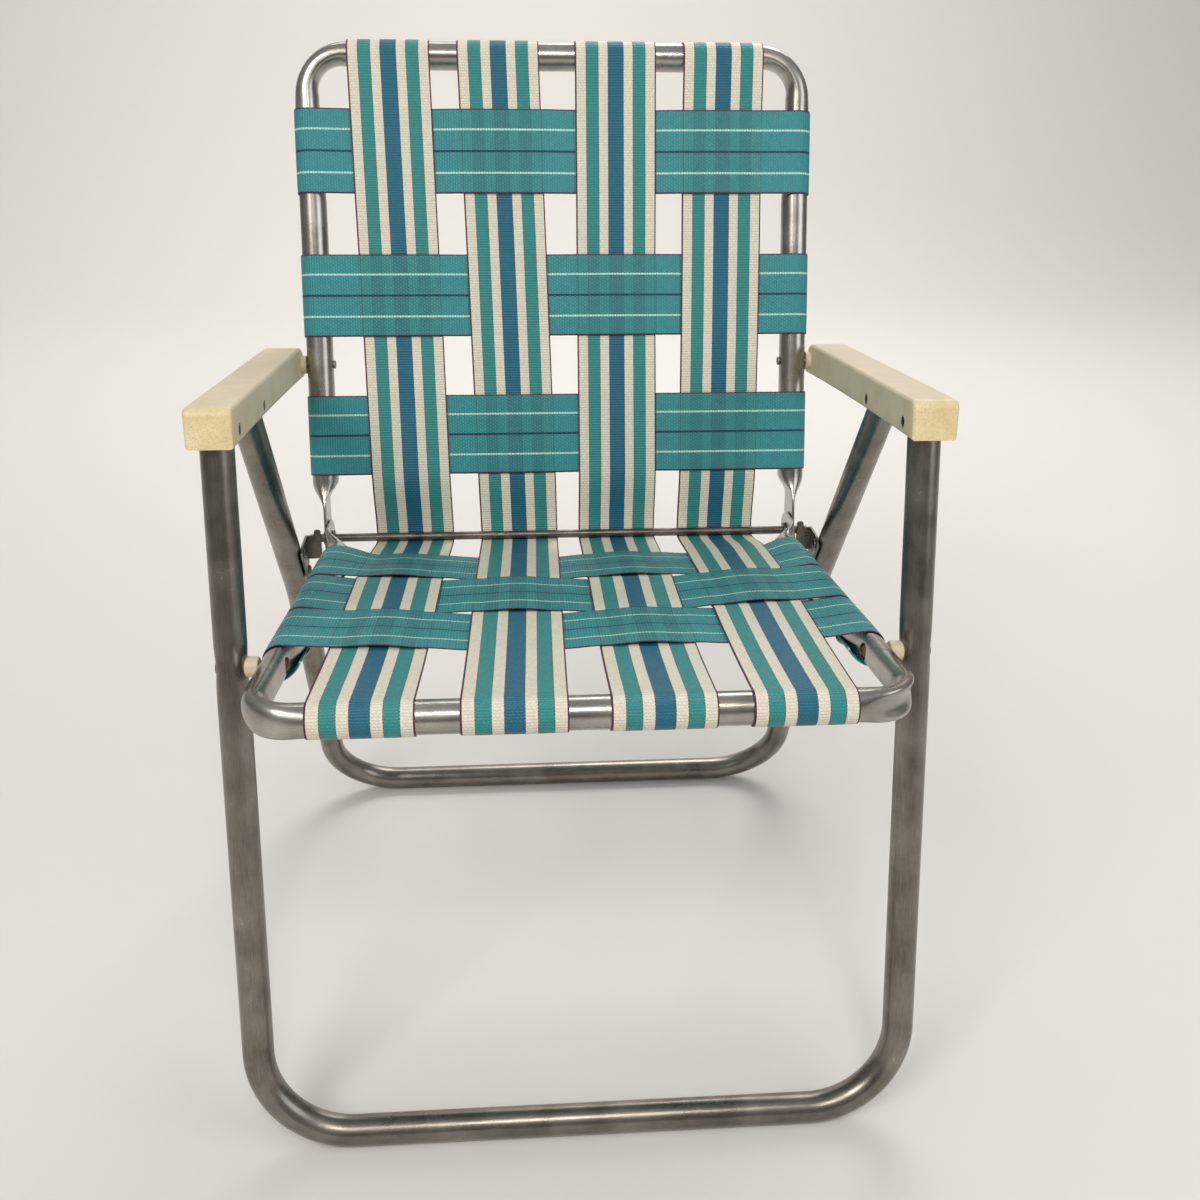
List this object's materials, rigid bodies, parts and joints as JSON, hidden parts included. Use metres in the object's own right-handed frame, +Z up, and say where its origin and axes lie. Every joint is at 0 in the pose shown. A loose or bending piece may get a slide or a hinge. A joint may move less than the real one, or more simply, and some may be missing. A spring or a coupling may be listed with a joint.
{
  "type": "folding webbed lawn chair",
  "caption": "Folding lawn chair with bent aluminium tube frames, moulded channel armrests and a woven webbing seat and back.",
  "frame": {"origin": "on the floor under the middle of the chair's box, standing open", "axes": "+Z up, the chair faces -Y, +X to the right when looking at the chair from the front"},
  "size_m": [0.5704, 0.5804, 0.8388],
  "materials": {
    "aluminium_tube": "bare tube, dulled by age",
    "ivory_plastic": "aged ivory moulding, softly glossy",
    "dark_steel": "dark steel with light rust",
    "rivet_metal": "dull rivet heads",
    "striped_webbing": "woven plastic webbing with lengthwise stripes",
    "teal_webbing": "woven plastic webbing with fine lines"
  },
  "bodies": {
    "rear_legs": {"rear_leg_frame": "aluminium_tube", "rear_hook_left": "dark_steel", "rear_hook_right": "dark_steel", "hook_rivet_upper_left": "rivet_metal", "hook_rivet_upper_right": "rivet_metal", "hook_rivet_lower_left": "rivet_metal", "hook_rivet_lower_right": "rivet_metal"},
    "arms": {"armrest_left": "ivory_plastic", "armrest_right": "ivory_plastic", "arm_front_rivet_left": "rivet_metal", "arm_front_rivet_right": "rivet_metal", "arm_rear_rivet_left": "rivet_metal", "arm_rear_rivet_right": "rivet_metal"},
    "front_legs": {"front_leg_frame": "aluminium_tube", "seat_spacer_left": "ivory_plastic", "seat_spacer_right": "ivory_plastic", "seat_rivet_left": "rivet_metal", "seat_rivet_right": "rivet_metal"},
    "seat": {"seat_frame": "aluminium_tube", "cross_rod": "dark_steel", "rod_washer_left": "dark_steel", "rod_washer_right": "dark_steel", "rod_nut_left": "dark_steel", "rod_nut_right": "dark_steel", "seat_long_strap_1": "striped_webbing", "seat_long_strap_2": "striped_webbing", "seat_long_strap_3": "striped_webbing", "seat_long_strap_4": "striped_webbing", "seat_cross_strap_1": "teal_webbing", "seat_cross_strap_2": "teal_webbing", "seat_cross_strap_3": "teal_webbing"},
    "back": {"back_frame": "aluminium_tube", "arm_back_rivet_left": "rivet_metal", "arm_back_rivet_right": "rivet_metal", "back_long_strap_1": "striped_webbing", "back_long_strap_2": "striped_webbing", "back_long_strap_3": "striped_webbing", "back_long_strap_4": "striped_webbing", "back_cross_strap_1": "teal_webbing", "back_cross_strap_2": "teal_webbing", "back_cross_strap_3": "teal_webbing"}
  },
  "joints": [
    {"name": "rear_leg_pivot", "type": "hinge", "parent": "rear_legs", "child": "arms", "pos_m": [0, -0.04434, 0.56754], "axis": [1, 0, 0], "range_deg": [-24.5, 0]},
    {"name": "fold", "type": "hinge", "parent": "arms", "child": "front_legs", "pos_m": [0, -0.14529, 0.57708], "axis": [1, 0, 0], "range_deg": [0, 65]},
    {"name": "seat_pivot", "type": "hinge", "parent": "front_legs", "child": "seat", "pos_m": [0, -0.18346, 0.40199], "axis": [1, 0, 0], "range_deg": [-65.5, 0]},
    {"name": "back_pivot", "type": "hinge", "parent": "seat", "child": "back", "pos_m": [0, 0.11956, 0.38898], "axis": [1, 0, 0], "range_deg": [0, 70]}
  ],
  "couplings": [
    {"joint": "rear_leg_pivot", "follows": "fold", "ratio": -0.373},
    {"joint": "seat_pivot", "follows": "fold", "ratio": -1.0034},
    {"joint": "back_pivot", "follows": "fold", "ratio": 1.0723}
  ]
}
